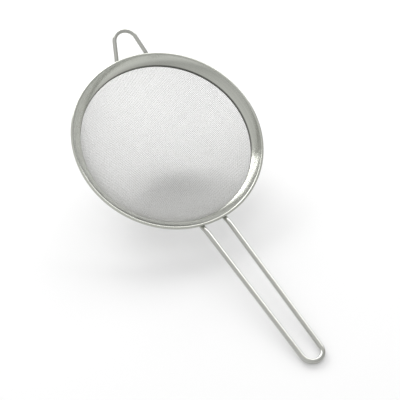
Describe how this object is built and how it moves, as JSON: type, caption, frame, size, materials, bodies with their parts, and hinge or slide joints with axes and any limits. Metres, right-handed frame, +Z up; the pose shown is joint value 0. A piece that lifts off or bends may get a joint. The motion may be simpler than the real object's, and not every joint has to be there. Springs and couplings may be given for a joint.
{
  "type": "kitchen sieve",
  "caption": "Steel hand sieve: a woven wire bowl in a funnel shaped rim, with a long looped wire handle and a short wire hook on the other side.",
  "frame": {"origin": "bottom centre of the box round the sieve as it lies on a table, on its bowl and on the tip of its handle", "axes": "+Z up from the table, +X towards the tip of the handle, +Y to the left of the handle seen from the bowl; the rim's plane slopes down towards +X by 24.9 degrees"},
  "size_m": [0.3896, 0.2, 0.1289],
  "materials": {
    "woven_wire": "fine drawn wire, plain weave",
    "rim_steel": "satin, with fine lines round the rim",
    "ring_steel": "satin",
    "wire_steel": "polished drawn wire",
    "weld_steel": "spot weld, slightly browned"
  },
  "bodies": {
    "root": {"mesh_bowl": "woven_wire", "rim_band": "rim_steel", "mesh_clamp_ring": "ring_steel", "handle_wire": "wire_steel", "hanging_hook": "wire_steel", "handle_welds": "weld_steel", "hook_welds": "weld_steel"}
  },
  "joints": []
}
